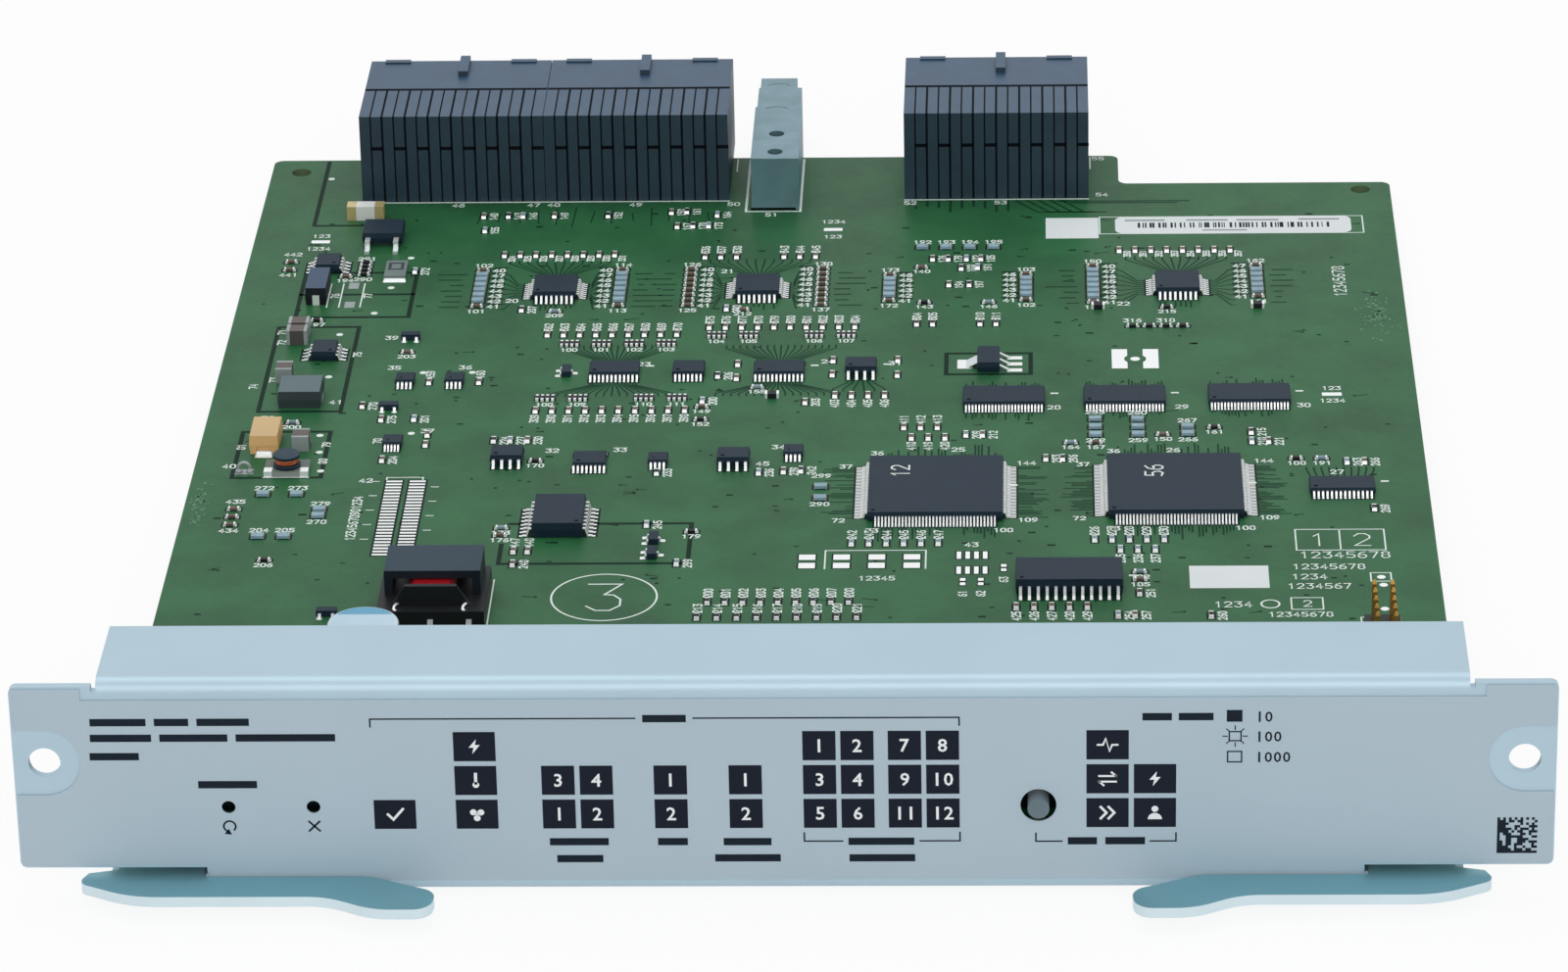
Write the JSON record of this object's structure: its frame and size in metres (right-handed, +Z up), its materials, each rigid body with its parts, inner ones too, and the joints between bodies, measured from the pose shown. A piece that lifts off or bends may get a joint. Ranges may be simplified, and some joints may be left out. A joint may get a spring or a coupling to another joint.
{
  "type": "system support module",
  "caption": "Plug-in system support module: green circuit board on a folded steel face plate with status lamps, push controls, two ejector levers and backplane connectors.",
  "frame": {"origin": "midway between the two panel screw holes, on the rear face of the panel's ears", "axes": "+X right seen from the front, +Y back into the chassis, +Z up from the board"},
  "size_m": [0.2056, 0.2603, 0.0318],
  "materials": {
    "panel_steel": "satin plated steel sheet",
    "printed_film": "matt printed film",
    "lever_steel": "satin plated steel",
    "rivet_steel": "satin",
    "board_laminate": "green solder mask",
    "screw_steel": "satin",
    "holder_plastic": "black",
    "lens_plastic": "milky",
    "switch_plastic": "black",
    "button_plastic": "dark",
    "connector_plastic": "dark slate",
    "die_cast": "cast, matt",
    "chip_epoxy": "dark epoxy",
    "tinned_lead": "tinned",
    "white_ceramic": "glazed",
    "gold_plate": "plated",
    "slate_mould": "moulded",
    "brown_ceramic": "fired",
    "tan_mould": "moulded",
    "grey_mould": "moulded",
    "ferrite": "sintered",
    "copper_wire": "enamelled",
    "bobbin_plastic": "moulded",
    "red_tape": "wound tape",
    "can_aluminium": "drawn",
    "resistor_body": "chip"
  },
  "bodies": {
    "module": {"face_plate": "panel_steel", "face_overlay": "printed_film", "lever_pivots": "rivet_steel", "circuit_board": "board_laminate", "board_standoffs": "screw_steel", "lamp_holders": "holder_plastic", "lamp_lenses": "lens_plastic", "reset_switch": "switch_plastic", "clear_switch": "switch_plastic", "mode_switch": "switch_plastic", "connector_wafers_1": "connector_plastic", "connector_wafers_2": "connector_plastic", "connector_wafers_3": "connector_plastic", "connector_shroud_1": "connector_plastic", "connector_shroud_2": "connector_plastic", "connector_shroud_3": "connector_plastic", "guide_block": "die_cast", "logic_chips": "chip_epoxy", "logic_chip_leads": "tinned_lead", "interface_chips": "chip_epoxy", "interface_chip_leads": "tinned_lead", "bus_chips": "chip_epoxy", "bus_chip_leads": "tinned_lead", "small_chips": "chip_epoxy", "small_chip_leads": "tinned_lead", "thin_chips": "chip_epoxy", "wide_chips": "chip_epoxy", "wide_chip_leads": "tinned_lead", "power_transistor_body": "chip_epoxy", "power_transistor_leads": "tinned_lead", "regulator_body": "chip_epoxy", "regulator_leads": "tinned_lead", "fuse_body": "white_ceramic", "fuse_caps": "gold_plate", "input_capacitor": "slate_mould", "ceramic_capacitors": "brown_ceramic", "tantalum_capacitor": "tan_mould", "moulded_inductor": "grey_mould", "drum_inductor": "ferrite", "drum_winding": "copper_wire", "transformer_core": "ferrite", "transformer_bobbin": "bobbin_plastic", "transformer_winding": "red_tape", "transformer_pins": "tinned_lead", "bulk_capacitor_can": "can_aluminium", "bulk_capacitor_base": "bobbin_plastic", "pin_header_base": "bobbin_plastic", "pin_header_pins": "gold_plate", "sense_resistor": "resistor_body"},
    "left_lever": {"left_ejector_lever": "lever_steel"},
    "right_lever": {"right_ejector_lever": "lever_steel"},
    "mode_push": {"mode_button": "button_plastic"},
    "reset_push": {"reset_plunger": "button_plastic"},
    "clear_push": {"clear_plunger": "button_plastic"}
  },
  "joints": [
    {"name": "right_lever_turn", "type": "hinge", "parent": "module", "child": "right_lever", "pos_m": [0.084, 0.0066, -0.01775], "axis": [0, 0, 1], "range_deg": [0, 50]},
    {"name": "left_lever_turn", "type": "hinge", "parent": "module", "child": "left_lever", "pos_m": [-0.084, 0.0066, -0.01775], "axis": [0, 0, -1], "range_deg": [0, 50]},
    {"name": "mode_press", "type": "slide", "parent": "module", "child": "mode_push", "axis": [0, 1, 0], "range_m": [0, 0.0008], "stiffness_N_per_m": 700, "springref_m": -0.0012},
    {"name": "reset_press", "type": "slide", "parent": "module", "child": "reset_push", "axis": [0, 1, 0], "range_m": [0, 0.0005], "stiffness_N_per_m": 900, "springref_m": -0.001},
    {"name": "clear_press", "type": "slide", "parent": "module", "child": "clear_push", "axis": [0, 1, 0], "range_m": [0, 0.0005], "stiffness_N_per_m": 900, "springref_m": -0.001}
  ]
}
